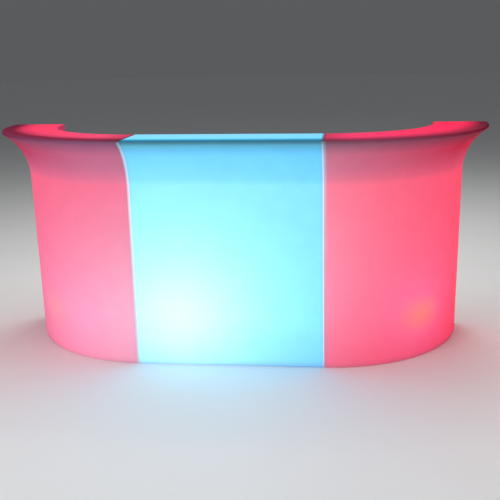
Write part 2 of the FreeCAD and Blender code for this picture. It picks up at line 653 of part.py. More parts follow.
def button_switch():
    """Switch body: bezel on the flange, barrel through it, and a blind bore for the cap."""
    bezel = disc(BEZEL_RADIUS, FLANGE_FACE, BEZEL_FACE, BUTTON_PLACE)
    rim = [e for e in bezel.Edges if near(e.BoundBox.ZMin, BEZEL_FACE)]
    bezel = bezel.makeFillet(BEZEL_EDGE_RADIUS, rim)
    barrel = disc(SWITCH_BARREL_RADIUS, BUTTON_BORE_FLOOR - SWITCH_FLOOR, FLANGE_FACE, BUTTON_PLACE)
    bore = disc(BUTTON_BORE_RADIUS, BUTTON_BORE_FLOOR, BEZEL_FACE, BUTTON_PLACE)
    return bezel.fuse(barrel).cut(bore).removeSplitter()


def charge_socket():
    """Barrel socket for the charger, with its centre pin."""
    flange = disc(SOCKET_FLANGE_RADIUS, FLANGE_FACE, SOCKET_FACE, SOCKET_PLACE)
    barrel = disc(SOCKET_BARREL_RADIUS, FLANGE_FACE - SOCKET_BARREL_LENGTH, FLANGE_FACE, SOCKET_PLACE)
    floor = SOCKET_FACE - SOCKET_BORE_DEPTH
    bore = ring(SOCKET_BORE_RADIUS, SOCKET_PIN_RADIUS, floor, SOCKET_FACE, SOCKET_PLACE)
    above_pin = disc(SOCKET_BORE_RADIUS, SOCKET_FACE - SOCKET_PIN_RECESS, SOCKET_FACE, SOCKET_PLACE)
    return flange.fuse(barrel).cut([bore, above_pin]).removeSplitter()


def panel_nuts():
    """Hexagonal nuts behind the flange that hold the switch and the socket."""
    nuts = []
    for radius, place in ((SWITCH_BARREL_RADIUS, BUTTON_PLACE), (SOCKET_BARREL_RADIUS, SOCKET_PLACE)):
        low = FLANGE_BACK - NUT_THICKNESS
        nut = hexagon(2 * (radius + NUT_RIM), low, FLANGE_BACK, place)
        nuts.append(nut.cut(disc(radius + PANEL_HOLE_CLEARANCE, low, FLANGE_BACK, place)))
    return nuts


def socket_flap():
    """Hinged cover over the charging socket, hanging from its pin."""
    low = SOCKET_PLACE[1] - FLAP_BELOW_SOCKET
    left = SOCKET_PLACE[0] - FLAP_WIDTH / 2
    leaf = Part.makeBox(FLAP_WIDTH, FLAP_AXIS_V - low, FLAP_THICKNESS, Vector(left, low, FLAP_BACK))
    corners = [
        e for e in leaf.Edges if near(e.BoundBox.ZLength, FLAP_THICKNESS) and near(e.BoundBox.YMax, low)
    ]
    leaf = leaf.makeFillet(FLAP_CORNER_RADIUS, corners)
    start, along = Vector(left, FLAP_AXIS_V, FLAP_AXIS_W), Vector(1, 0, 0)
    knuckle = Part.makeCylinder(KNUCKLE_RADIUS, FLAP_WIDTH, start, along)
    bore = Part.makeCylinder(FLAP_PIN_RADIUS + FLAP_PIN_CLEARANCE, FLAP_WIDTH, start, along)
    return leaf.fuse(knuckle).cut(bore).removeSplitter()


def flap_pin():
    """Hinge pin through both ears and the flap's knuckle."""
    reach = FLAP_WIDTH / 2 + LUG_SIDE_CLEARANCE + LUG_THICKNESS
    start = Vector(SOCKET_PLACE[0] - reach, FLAP_AXIS_V, FLAP_AXIS_W)
    return Part.makeCylinder(FLAP_PIN_RADIUS, 2 * reach, start, Vector(1, 0, 0))


def lamp_screws():
    """Socket-head screws of one lamp flange."""
    head = disc(LAMP_SCREW_HEAD_RADIUS, FLANGE_FACE, FLANGE_FACE + LAMP_SCREW_HEAD_HEIGHT)
    top = FLANGE_FACE + LAMP_SCREW_HEAD_HEIGHT
    rim = [e for e in head.Edges if near(e.BoundBox.ZMin, top)]
    head = head.makeFillet(LAMP_SCREW_HEAD_HEIGHT / 3, rim)
    shank = disc(LAMP_SCREW_SHANK_RADIUS, FLANGE_FACE - LAMP_SCREW_LENGTH, FLANGE_FACE)
    socket = hexagon(LAMP_SCREW_SOCKET, top - LAMP_SCREW_SOCKET_DEPTH, top)
    screw = head.fuse(shank).cut(socket).removeSplitter()
    return [moved(screw, *p) for p in lamp_screw_places()]


def lamp_inserts():
    """Brass inserts in one lamp pad, flush with its face."""
    insert = ring(LAMP_INSERT_RADIUS, LAMP_INSERT_BORE_RADIUS, -LAMP_INSERT_LENGTH, 0)
    return [moved(insert, *p) for p in lamp_screw_places()]


SIDES = ("left", "centre", "right")
LAMP_NODES = {
    "lamp_gasket": gasket,
    "lamp_housing": lamp_housing,
    "led_board": led_board,
    "led_chips": led_chips,
    "diffuser_dome": diffuser_dome,
    "battery_pack": battery_pack,
    "control_board": control_board,
    "lamp_lead": lamp_lead,
    "power_button": power_button,
    "button_switch": button_switch,
    "charge_socket": charge_socket,
    "socket_flap": socket_flap,
}


def nodes():
    """Every node of the counter by name."""
    right = right_corner_shell()
    made = {
        "right_corner_shell": right,
        "left_corner_shell": mirrored(right),
        "centre_shell": centre_shell(),
        "foot_pads": foot_pads(),
        "left_joining_plate": joining_plate(-1),
        "right_joining_plate": joining_plate(1),
        "plate_screws": plate_screws(),
        "plate_inserts": plate_inserts(),
    }
    for name, make in LAMP_NODES.items():
        piece = make()
        for side in SIDES:
            made[f"{side}_{name}"] = placed(piece, side)
    groups = {
        "panel_nuts": panel_nuts(),
        "flap_pins": [flap_pin()],
        "lamp_screws": lamp_screws(),
        "lamp_inserts": lamp_inserts(),
    }
    for name, pieces in groups.items():
        made[name] = Part.makeCompound([placed(p, side) for side in SIDES for p in pieces])
    return made


def main():
    """Writes one STEP file per node."""
    os.makedirs("parts", exist_ok=True)
    for name, shape in nodes().items():
        bad = [s for s in shape.Solids if not s.isValid()]
        print(f"{name}: {len(shape.Solids)} solids, {shape.Volume / 1000:.1f} cm3, {len(bad)} not valid")
        shape.exportStep(os.path.join("parts", f"{name}.step"))


if __name__ == "__main__":
    main()
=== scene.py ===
import logging
import math
from dataclasses import dataclass, field
from enum import Enum
from typing import Any, Protocol

import bpy
import numpy as np
from mathutils import Matrix, Vector


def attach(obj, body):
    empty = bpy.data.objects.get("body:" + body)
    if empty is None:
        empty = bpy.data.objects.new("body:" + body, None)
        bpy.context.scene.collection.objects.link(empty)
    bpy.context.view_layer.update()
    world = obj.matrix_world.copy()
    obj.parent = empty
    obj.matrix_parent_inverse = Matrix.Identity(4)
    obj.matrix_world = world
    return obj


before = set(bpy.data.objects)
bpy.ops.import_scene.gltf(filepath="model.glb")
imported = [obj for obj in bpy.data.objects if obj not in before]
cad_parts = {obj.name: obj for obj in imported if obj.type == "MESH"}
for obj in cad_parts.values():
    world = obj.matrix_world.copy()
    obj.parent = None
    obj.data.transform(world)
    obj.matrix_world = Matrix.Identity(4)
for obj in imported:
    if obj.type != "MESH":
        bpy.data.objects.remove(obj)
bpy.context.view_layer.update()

LOG = logging.getLogger("bar_counter")

# Plan of the counter in metres. The corners' arcs are about (+-SEAM_X, ARC_Y).
HEIGHT = 1.1
SEAM_X = 0.45
ARC_Y = 0.41
LIP_RADIUS = 0.82
WALL_RADIUS = 0.682
DECK_DEPTH = 0.28

# Sockets of a Mix node that mixes colours. A Map Range node's inputs are 0: value, 1 and 2: from,
# 3 and 4: to.
MIX_A, MIX_B, MIX_OUT = 6, 7, 2

# Settings of nodes that many trees share: an eased Map Range, a mix of colours and a tint.
EASED = {"interpolation_type": "SMOOTHSTEP"}
COLOURS = {"data_type": "RGBA"}
TINT = {"data_type": "RGBA", "blend_type": "MULTIPLY"}

# Most values of a noise texture lie in this span.
NOISE_LOW, NOISE_HIGH = 0.3, 0.7

# The largest value of n^2 (1 - n^2), for n from 0 to 1.
BEND_PEAK = 0.25

Colour = tuple[float, float, float, float]
Point = tuple[float, float, float]
Range = tuple[float, float]
Stops = tuple[tuple[float, str], ...]
Socket = bpy.types.NodeSocket
Tree = bpy.types.NodeTree
Material = bpy.types.Material


class Side(Enum):
    """The three modules, as the guests see them."""

    LEFT = "left"
    CENTRE = "centre"
    RIGHT = "right"


class Marks(Enum):
    """What the last step of the work left on a metal surface."""

    BRUSHED = "fine lines along X"
    TURNED = "fine rings about a centre"
    CLOUDED = "an even, slightly cloudy skin"


class Ends(Enum):
    """How the rows of a grid of points end, by the rows that close at a pole."""

    JOINED = ()
    DISC = (0,)
    POLES = (0, -1)


# Middle of each lamp's flange on the rear wall, and the way that it faces.
SLANT = math.sqrt(0.5)
LAMP_PLACES: dict[Side, Point] = {
    Side.CENTRE: (-0.22, 0.044, 0.24),
    Side.LEFT: (-0.69584, 0.16416, 0.24),
    Side.RIGHT: (0.69584, 0.16416, 0.24),
}
LAMP_AIMS: dict[Side, Point] = {
    Side.CENTRE: (0.0, 1.0, 0.0),
    Side.LEFT: (SLANT, SLANT, 0.0),
    Side.RIGHT: (-SLANT, SLANT, 0.0),
}


class Finish(Protocol):
    """Anything that can be made into a Blender material."""

    @property
    def name(self) -> str:
        """Name of the real material."""

    def material(self) -> Material:
        """The finish as a node material."""


def linear(hex_colour: str, gain: float = 1.0) -> Colour:
    """Turns an sRGB hex colour to linear light.

    Args:
        hex_colour: Colour such as "#8FD4E0".
        gain: Factor on the linear values.

    Returns:
        Linear red, green and blue, and an alpha of one.
    """
    part = np.array([int(hex_colour[k:k + 2], 16) for k in (1, 3, 5)]) / 255.0
    light = np.where(part <= 0.04045, part / 12.92, ((part + 0.055) / 1.055) ** 2.4)
    return (*(light * gain).tolist(), 1.0)


def per_metre(size_mm: float) -> float:
    """Texture scale on Object coordinates that gives features of this size."""
    return 1000.0 / size_mm


def add_node(tree: Tree, kind: str, feeds: dict | None = None, stops: Stops = (),
             **settings: Any) -> bpy.types.Node:
    """Adds one shader node with its settings and links.

    Args:
        tree: Node tree to add to.
        kind: Node type without its "ShaderNode" prefix.
        feeds: Input name or number to a socket, which is linked, or to a plain value.
        stops: Places and hex colours of a colour ramp.
        settings: Properties of the node.

    Returns:
        The new node.
    """
    node = tree.nodes.new("ShaderNode" + kind)
    for name, value in settings.items():
        setattr(node, name, value)
    for key, value in (feeds or {}).items():
        if isinstance(value, Socket):
            tree.links.new(value, node.inputs[key])
        else:
            node.inputs[key].default_value = value
    for k, (place, colour) in enumerate(stops):
        ramp = node.color_ramp.elements
        element = ramp[k] if k < 2 else ramp.new(place)
        element.position = place
        element.color = linear(colour)
    return node


def new_material(name: str) -> tuple[Material, Tree]:
    """Makes an empty node material.

    Args:
        name: Name of the real material.

    Returns:
        The material and its tree.
    """
    made = bpy.data.materials.new(name)
    made.use_nodes = True
    made.node_tree.nodes.clear()
    return made, made.node_tree


def close_material(tree: Tree, feeds: dict) -> None:
    """Ends a tree with a Principled shader.

    Args:
        tree: Node tree to add to.
        feeds: What the shader's inputs get.
    """
    shader = add_node(tree, "BsdfPrincipled", feeds)
    add_node(tree, "OutputMaterial", {"Surface": shader.outputs[0]})


@dataclass(frozen=True)
class Glow:
    """Light on a wall.

    At distance d from its middle it is the share (1 / (1 + d^2 / spread^2))^power of its colour.
    """

    colour: str
    gain: float
    middle: Point
    spread: float
    power: float = 1.0

    def added(self, tree: Tree, place: Socket, light: Socket | Point) -> Socket:
        """Adds this light to what is there.

        Args:
            tree: Node tree to add to.
            place: Object coordinates.
            light: Light that is there, as a socket or a plain colour.

        Returns:
            Socket with the sum.
        """
        away = add_node(tree, "VectorMath", {0: place, 1: self.middle}, operation="DISTANCE").outputs["Value"]
        scaled = add_node(tree, "Math", {0: away, 1: self.spread}, operation="DIVIDE").outputs[0]
        below = add_node(tree, "Math", {0: scaled, 1: scaled, 2: 1.0}, operation="MULTIPLY_ADD").outputs[0]
        share = add_node(tree, "Math", {0: below, 1: -self.power}, operation="POWER").outputs[0]
        colour = linear(self.colour, self.gain)[:3]
        total = add_node(tree, "VectorMath", {0: colour, 1: share, 2: light}, operation="MULTIPLY_ADD")
        return total.outputs[0]


@dataclass(frozen=True)
class WarmSpot:
    """The lamp itself, seen through the wall as a warm patch that is half as wide again as it is high."""

    middle: Point
    strength: float
    colour: str = "#FFAC8F"
    gain: float = 1.07
    radius: float = 0.12
    squeeze: Point = (0.67, 0.67, 1.0)

    def mixed(self, tree: Tree, place: Socket, light: Socket) -> Socket:
        """Mixes the spot into the light.

        Args:
            tree: Node tree to add to.
            place: Object coordinates.
            light: Light that is there.

        Returns:
            Socket with the mixed light.
        """
        arm = add_node(tree, "VectorMath", {0: place, 1: self.middle}, operation="SUBTRACT").outputs[0]
        arm = add_node(tree, "VectorMath", {0: arm, 1: self.squeeze}, operation="MULTIPLY").outputs[0]
        away = add_node(tree, "VectorMath", {0: arm}, operation="LENGTH").outputs["Value"]
        share = add_node(tree, "MapRange", {0: away, 1: self.radius, 2: 0.0, 4: self.strength},
                         **EASED).outputs[0]
        warm = linear(self.colour, self.gain)
        return add_node(tree, "Mix", {0: share, MIX_A: light, MIX_B: warm}, **COLOURS).outputs[MIX_OUT]


@dataclass(frozen=True)
class Shading:
    """Colour factors on a module's light.

    The front goes by height: the wall dims towards the floor and, above the worktop inside, towards the lip.
    The deck goes by depth behind the lip. Towards a corner's far end, which its neighbour's light hardly
    reaches, the deck may change to another row of factors and the lip may take a tint. Places in a row are
    shares of the counter's height or of the deck's depth.
    """

    front: Stops
    deck: Stops
    deck_end: Stops = ()
    lip_end: str = ""


CYAN_SHADING = Shading(
    front=((0.0, "#C5B9C9"), (0.03, "#D8E0F8"), (0.23, "#F0F8FB"), (0.80, "#FDFAFF"), (0.825, "#E6EEFC"),
           (0.93, "#D6E5F5"), (0.977, "#ADBDB7"), (0.993, "#807872")),
    deck=((0.0, "#2F6E7E"), (0.07, "#3A7684"), (0.16, "#8CC0C8"), (0.36, "#E4F0EC"), (0.57, "#F4E8E2")),
)
LEFT_SHADING = Shading(
    front=((0.0, "#B6DCD8"), (0.03, "#CCEBE8"), (0.23, "#DAFDFC"), (0.80, "#F4F5F6"), (0.825, "#DDF5F9"),
           (0.875, "#C4FAFA"), (0.93, "#BEF2F4"), (0.977, "#90CCD2"), (0.993, "#6CBCBD")),
    deck=((0.0, "#5F7790"), (0.107, "#583E60"), (0.214, "#603A58"), (0.36, "#C68EAD"), (0.57, "#F4AEC8")),
    deck_end=((0.0, "#404C68"), (0.12, "#403058"), (0.20, "#503058"), (0.38, "#D890B0"), (0.57, "#FFB0C8")),
    lip_end="#F06898",
)
RIGHT_SHADING = Shading(
    front=((0.0, "#CCA4A8"), (0.03, "#EDA8B2"), (0.23, "#FDC7CC"), (0.80, "#F7FDF7"), (0.825, "#DEFAF5"),
           (0.875, "#C7FFFA"), (0.93, "#BEFCF6"), (0.977, "#80D6CE"), (0.993, "#61A6A0")),
    deck=((0.0, "#78507E"), (0.107, "#925B90"), (0.25, "#CC78B8"), (0.36, "#E880C2"), (0.57, "#F284C8")),
    deck_end=((0.0, "#182028"), (0.15, "#402C48"), (0.30, "#BC4CA4"), (0.45, "#F080CC")),
    lip_end="#F4709C",
)


@dataclass(frozen=True)
class GlowingPolyethylene:
    """Rotomoulded polyethylene wall, lit from inside.

    The light at a point is the wall's even light, plus the lamp's, plus what comes over from the neighbour,
    with the lamp's warm spot and the pale light of the seams mixed in. It is then shaded by the module's
    factors.
    """

    name: str
    # Base colours, darkened and tinted with the lamp's colour: painted light.
    skin: tuple[str, str]
    even: str
    even_gain: float
    lamp: Glow
    lamp_pad: Point
    shading: Shading
    seam_light: str
    seam_reach: float
    spill: Glow | None = None
    spot: WarmSpot | None = None
    arc_x: float | None = None
    # Pale light and shade beside a seam, below the deck.
    seam_edge: float = 0.0005
    seam_gain: float = 1.1
    seam_strength: float = 0.85
    seam_shade: str = "#E8FFFF"
    seam_shade_reach: float = 0.024
    # Factors by height on the bartender's side, and the depths over which they take over from the front's.
    rear_shade: Stops = (
        (0.0, "#A8A8A8"), (0.03, "#CCCCCC"), (0.2, "#DEDEDE"), (0.6, "#ECECEC"), (0.80, "#DCDCDC"),
        (0.817, "#F8F8F8"), (0.845, "#C4C4C4"), (0.93, "#CCCCCC"), (0.985, "#DCDCDC"),
    )
    rear_depths: Range = (0.16, 0.42)
    # Heights at which the deck begins and the lip turns out, and where along Y their far ends begin.
    deck_heights: Range = (1.092, 1.099)
    deck_end_y: Range = (-0.15, 0.25)
    lip_end_y: Range = (-0.36, 0.0)
    lip_heights: Range = (0.90, 1.02)
    # Dimming of the deck towards a seam, and in the groove between two rounded edges.
    deck_seam_reach: float = 0.16
    deck_seam_dim: float = 0.6
    groove_reach: float = 0.012
    groove_dim: float = 0.3
    # Shadow of the lamp's can on the rear wall, and dimming of the rounded edges away from it.
    can_shadow: Range = (0.10, 0.24)
    can_dim: float = 0.72
    edge_clear: Range = (0.13, 0.18)
    edge_dim: float = 0.66
    # Clouds in the wall's thickness, the mould's pebble, and the scuffs that change the gloss.
    cloud_mm: float = 90.0
    wander: Range = (0.975, 1.025)
    pebble_mm: float = 2.5
    pebble_depth_mm: float = 0.2
    pebble_relief: float = 0.25
    scuff_mm: float = 30.0
    rough: Range = (0.53, 0.61)
    ior: float = 1.51
    # The photograph is exposed for the glow, so hardly any reflection is left on the skin.
    specular: float = 0.03

    def depth(self, tree: Tree, place: Socket) -> Socket:
        """Depth behind the lip: along Y on the straight module, towards the arc's axis on a corner.

        Args:
            tree: Node tree to add to.
            place: Object coordinates.

        Returns:
            Socket with the depth in metres.
        """
        if self.arc_x is None:
            y = add_node(tree, "SeparateXYZ", {0: place}).outputs["Y"]
            return add_node(tree, "Math", {0: y, 1: LIP_RADIUS - ARC_Y}, operation="ADD").outputs[0]
        axis = (self.arc_x, ARC_Y, 0.0)
        arm = add_node(tree, "VectorMath", {0: place, 1: axis}, operation="SUBTRACT").outputs[0]
        flat = add_node(tree, "VectorMath", {0: arm, 1: (1.0, 1.0, 0.0)}, operation="MULTIPLY").outputs[0]
        reach = add_node(tree, "VectorMath", {0: flat}, operation="LENGTH").outputs["Value"]
        return add_node(tree, "Math", {0: LIP_RADIUS, 1: reach}, operation="SUBTRACT").outputs[0]

    def rear(self, tree: Tree, coords: bpy.types.Node, up: Socket) -> Socket:
        """Colour factor on the bartender's side.

        It goes by height, and is lower round the lamp, whose can hides the light, and on the rounded edges
        between level and upright faces, where a moulded wall is thickest: there n^2 (1 - n^2), of the level
        part n of the face's direction, is largest.

        Args:
            tree: Node tree to add to.
            coords: Texture coordinates.
            up: Height as a share of the counter's.

        Returns:
            Socket with the factor.
        """
        tall = add_node(tree, "ValToRGB", {0: up}, self.rear_shade).outputs[0]
        away = add_node(tree, "VectorMath", {0: coords.outputs["Object"], 1: self.lamp_pad},
                        operation="DISTANCE").outputs["Value"]
        ring = add_node(tree, "MapRange", {
            0: away, 1: self.can_shadow[0], 2: self.can_shadow[1], 3: self.can_dim,
        }, **EASED).outputs[0]
        level = add_node(tree, "SeparateXYZ", {0: coords.outputs["Normal"]}).outputs["Z"]
        square = add_node(tree, "Math", {0: level, 1: level}, operation="MULTIPLY").outputs[0]
        rest = add_node(tree, "Math", {0: 1.0, 1: square}, operation="SUBTRACT").outputs[0]
        both = add_node(tree, "Math", {0: square, 1: rest}, operation="MULTIPLY").outputs[0]
        clear = add_node(tree, "MapRange", {0: away, 1: self.edge_clear[0], 2: self.edge_clear[1]}).outputs[0]
        bend = add_node(tree, "Math", {0: both, 1: clear}, operation="MULTIPLY").outputs[0]
        edge = add_node(tree, "MapRange", {0: bend, 2: BEND_PEAK, 3: 1.0, 4: self.edge_dim}).outputs[0]
        dim = add_node(tree, "Math", {0: ring, 1: edge}, operation="MULTIPLY").outputs[0]
        return add_node(tree, "VectorMath", {0: tall, "Scale": dim}, operation="SCALE").outputs[0]

    def from_seam(self, tree: Tree, place: Socket) -> Socket:
        """Distance in X from the nearer seam.

        Args:
            tree: Node tree to add to.
            place: Object coordinates.

        Returns:
            Socket with the distance in metres.
        """
        across = add_node(tree, "SeparateXYZ", {0: place}).outputs["X"]
        size = add_node(tree, "Math", {0: across}, operation="ABSOLUTE").outputs[0]
        past = add_node(tree, "Math", {0: size, 1: SEAM_X}, operation="SUBTRACT").outputs[0]
        return add_node(tree, "Math", {0: past}, operation="ABSOLUTE").outputs[0]

    def deck(self, tree: Tree, place: Socket, depth: Socket, gap: Socket) -> Socket:
        """Colour factor on the deck, which dims towards a seam and is darkest in its groove.

        Args:
            tree: Node tree to add to.
            place: Object coordinates.
            depth: Depth behind the lip in metres.
            gap: Distance from the seam in metres.

        Returns:
            Socket with the factor.
        """
        back = add_node(tree, "MapRange", {0: depth, 2: DECK_DEPTH}).outputs[0]
        near = add_node(tree, "ValToRGB", {0: back}, self.shading.deck).outputs[0]
        dim = add_node(tree, "MapRange", {0: gap, 2: self.deck_seam_reach, 3: self.deck_seam_dim},
                       **EASED).outputs[0]
        groove = add_node(tree, "MapRange", {
            0: gap, 1: self.seam_edge, 2: self.groove_reach, 3: self.groove_dim,
        }, **EASED).outputs[0]
        dim = add_node(tree, "Math", {0: dim, 1: groove}, operation="MULTIPLY").outputs[0]
        near = add_node(tree, "VectorMath", {0: near, "Scale": dim}, operation="SCALE").outputs[0]
        if not self.shading.deck_end:
            return near
        far = add_node(tree, "ValToRGB", {0: back}, self.shading.deck_end).outputs[0]
        along = add_node(tree, "SeparateXYZ", {0: place}).outputs["Y"]
        share = add_node(tree, "MapRange", {0: along, 1: self.deck_end_y[0], 2: self.deck_end_y[1]},
                         **EASED).outputs[0]
        return add_node(tree, "Mix", {0: share, MIX_A: near, MIX_B: far}, **COLOURS).outputs[MIX_OUT]

    def lip(self, tree: Tree, place: Socket, front: Socket) -> Socket:
        """Tints the front's factor on the lip towards the module's far end.

        Args:
            tree: Node tree to add to.
            place: Object coordinates.
            front: Colour factor on the front.

        Returns:
            Socket with the tinted factor.
        """
        if not self.shading.lip_end:
            return front
        parts = add_node(tree, "SeparateXYZ", {0: place}).outputs
        along = add_node(tree, "MapRange", {
            0: parts["Y"], 1: self.lip_end_y[0], 2: self.lip_end_y[1],
        }).outputs[0]
        high = add_node(tree, "MapRange", {
            0: parts["Z"], 1: self.lip_heights[0], 2: self.lip_heights[1],
        }).outputs[0]
        share = add_node(tree, "Math", {0: along, 1: high}, operation="MULTIPLY").outputs[0]
        return add_node(tree, "Mix", {0: share, MIX_A: front, MIX_B: linear(self.shading.lip_end)},
                        **TINT).outputs[MIX_OUT]

    def shade(self, tree: Tree, coords: bpy.types.Node, gap: Socket) -> Socket:
        """Colour factor of the wall: one on the front, one on the bartender's side and one on the deck.

        Args:
            tree: Node tree to add to.
            coords: Texture coordinates.
            gap: Distance from the seam in metres.

        Returns:
            Socket with the factor.
        """
        place = coords.outputs["Object"]
        depth = self.depth(tree, place)
        height = add_node(tree, "SeparateXYZ", {0: place}).outputs["Z"]
        up = add_node(tree, "MapRange", {0: height, 2: HEIGHT}).outputs[0]
        front = self.lip(tree, place, add_node(tree, "ValToRGB", {0: up}, self.shading.front).outputs[0])
        rear, deck = self.rear(tree, coords, up), self.deck(tree, place, depth, gap)
        behind = add_node(tree, "MapRange", {0: depth, 1: self.rear_depths[0], 2: self.rear_depths[1]},
                          **EASED).outputs[0]
        on_top = add_node(tree, "MapRange", {0: height, 1: self.deck_heights[0], 2: self.deck_heights[1]},
                          **EASED).outputs[0]
        wall = add_node(tree, "Mix", {0: behind, MIX_A: front, MIX_B: rear}, **COLOURS).outputs[MIX_OUT]
        return add_node(tree, "Mix", {0: on_top, MIX_A: wall, MIX_B: deck}, **COLOURS).outputs[MIX_OUT]

    def seams(self, tree: Tree, place: Socket, gap: Socket, light: Socket) -> Socket:
        """Dims the wall's own colour beside a seam, then mixes in the pale light of both neighbours.

        The module's closed end holds back its own light there, and the mixed light gathers in the rounded
        upright edge.

        Args:
            tree: Node tree to add to.
            place: Object coordinates.
            gap: Distance from the seam in metres.
            light: Light that is there.

        Returns:
            Socket with the mixed light.
        """
        height = add_node(tree, "SeparateXYZ", {0: place}).outputs["Z"]
        below = add_node(tree, "MapRange", {
            0: height, 1: self.deck_heights[1], 2: self.deck_heights[0],
        }).outputs[0]
        near = add_node(tree, "MapRange", {0: gap, 1: self.seam_shade_reach, 2: self.seam_edge},
                        **EASED).outputs[0]
        near = add_node(tree, "Math", {0: near, 1: below}, operation="MULTIPLY").outputs[0]
        light = add_node(tree, "Mix", {0: near, MIX_A: light, MIX_B: linear(self.seam_shade)},
                         **TINT).outputs[MIX_OUT]
        share = add_node(tree, "MapRange", {
            0: gap, 1: self.seam_reach, 2: self.seam_edge, 4: self.seam_strength,
        }, **EASED).outputs[0]
        share = add_node(tree, "Math", {0: share, 1: below}, operation="MULTIPLY").outputs[0]
        pale = linear(self.seam_light, self.seam_gain)
        return add_node(tree, "Mix", {0: share, MIX_A: light, MIX_B: pale}, **COLOURS).outputs[MIX_OUT]

    def light(self, tree: Tree, coords: bpy.types.Node, cloud: Socket) -> Socket:
        """Light that leaves the wall.

        Args:
            tree: Node tree to add to.
            coords: Texture coordinates.
            cloud: Noise that the wall's thickness follows.

        Returns:
            Socket with the light's colour.
        """
        place = coords.outputs["Object"]
        gap = self.from_seam(tree, place)
        light = self.lamp.added(tree, place, linear(self.even, self.even_gain)[:3])
        if self.spill:
            light = self.spill.added(tree, place, light)
        if self.spot:
            light = self.spot.mixed(tree, place, light)
        light = self.seams(tree, place, gap, light)
        shade = self.shade(tree, coords, gap)
        light = add_node(tree, "VectorMath", {0: light, 1: shade}, operation="MULTIPLY").outputs[0]
        wander = add_node(tree, "MapRange", {
            0: cloud, 1: NOISE_LOW, 2: NOISE_HIGH, 3: self.wander[0], 4: self.wander[1],
        }).outputs[0]
        return add_node(tree, "VectorMath", {0: light, "Scale": wander}, operation="SCALE").outputs[0]

    def material(self) -> Material:
        """Satin, slightly pebbled skin with a cloudy glow, because a moulded wall is never quite even.

        Returns:
            The node material.
        """
        made, tree = new_material(self.name)
        coords = add_node(tree, "TexCoord")
        place = coords.outputs["Object"]
        cloud = add_node(tree, "TexNoise", {
            "Vector": place, "Scale": per_metre(self.cloud_mm), "Detail": 3.0,
        }).outputs[0]
        # The skin's base colour carries the lamp's colour, which is painted light; its clouds are the wall's
        # uneven tone.
        skin = add_node(tree, "Mix", {0: cloud, MIX_A: linear(self.skin[0]), MIX_B: linear(self.skin[1])},
                        **COLOURS)
        pebble = add_node(tree, "TexNoise", {
            "Vector": place, "Scale": per_metre(self.pebble_mm), "Detail": 2.0,
        }).outputs[0]
        bump = add_node(tree, "Bump", {
            "Height": pebble, "Strength": self.pebble_relief, "Distance": self.pebble_depth_mm / 1000,
        })
        scuff = add_node(tree, "TexNoise", {
            "Vector": place, "Scale": per_metre(self.scuff_mm), "Detail": 4.0,
        }).outputs[0]
        rough = add_node(tree, "MapRange", {
            0: scuff, 1: NOISE_LOW, 2: NOISE_HIGH, 3: self.rough[0], 4: self.rough[1],
        }).outputs[0]
        close_material(tree, {
            "Base Color": skin.outputs[MIX_OUT], "Roughness": rough, "IOR": self.ior,
            "Specular IOR Level": self.specular, "Normal": bump.outputs[0],
            "Emission Color": self.light(tree, coords, cloud), "Emission Strength": 1.0,
        })
        return made


@dataclass(frozen=True)
class MouldedPolymer:
    """Moulded plastic or rubber: a clouded colour under the fine pits that the mould leaves.

    The real pits are about a tenth of a millimetre; grain_mm draws them coarser, so that they show.
    """

    name: str
    dark: str
    light: str
    rough: Range
    ior: float
    grain_mm: float
    grain_depth_mm: float
    cloud_mm: float
    relief: float = 0.6

    def material(self) -> Material:
        """Colour clouds over cloud_mm, pits and gloss changes over grain_mm.

        Returns:
            The node material.
        """
        made, tree = new_material(self.name)
        place = add_node(tree, "TexCoord").outputs["Object"]
        cloud = add_node(tree, "TexNoise", {
            "Vector": place, "Scale": per_metre(self.cloud_mm), "Detail": 4.0,
        }).outputs[0]
        skin = add_node(tree, "Mix", {0: cloud, MIX_A: linear(self.dark), MIX_B: linear(self.light)},
                        **COLOURS)
        pits = add_node(tree, "TexNoise", {"Vector": place, "Scale": per_metre(self.grain_mm), "Detail": 3.0})
        rough = add_node(tree, "MapRange", {
            0: pits.outputs[0], 1: NOISE_LOW, 2: NOISE_HIGH, 3: self.rough[0], 4: self.rough[1],
        })
        bump = add_node(tree, "Bump", {
            "Height": pits.outputs[0], "Strength": self.relief, "Distance": self.grain_depth_mm / 1000,
        })
        close_material(tree, {
            "Base Color": skin.outputs[MIX_OUT], "Roughness": rough.outputs[0], "IOR": self.ior,
            "Normal": bump.outputs[0],
        })
        return made


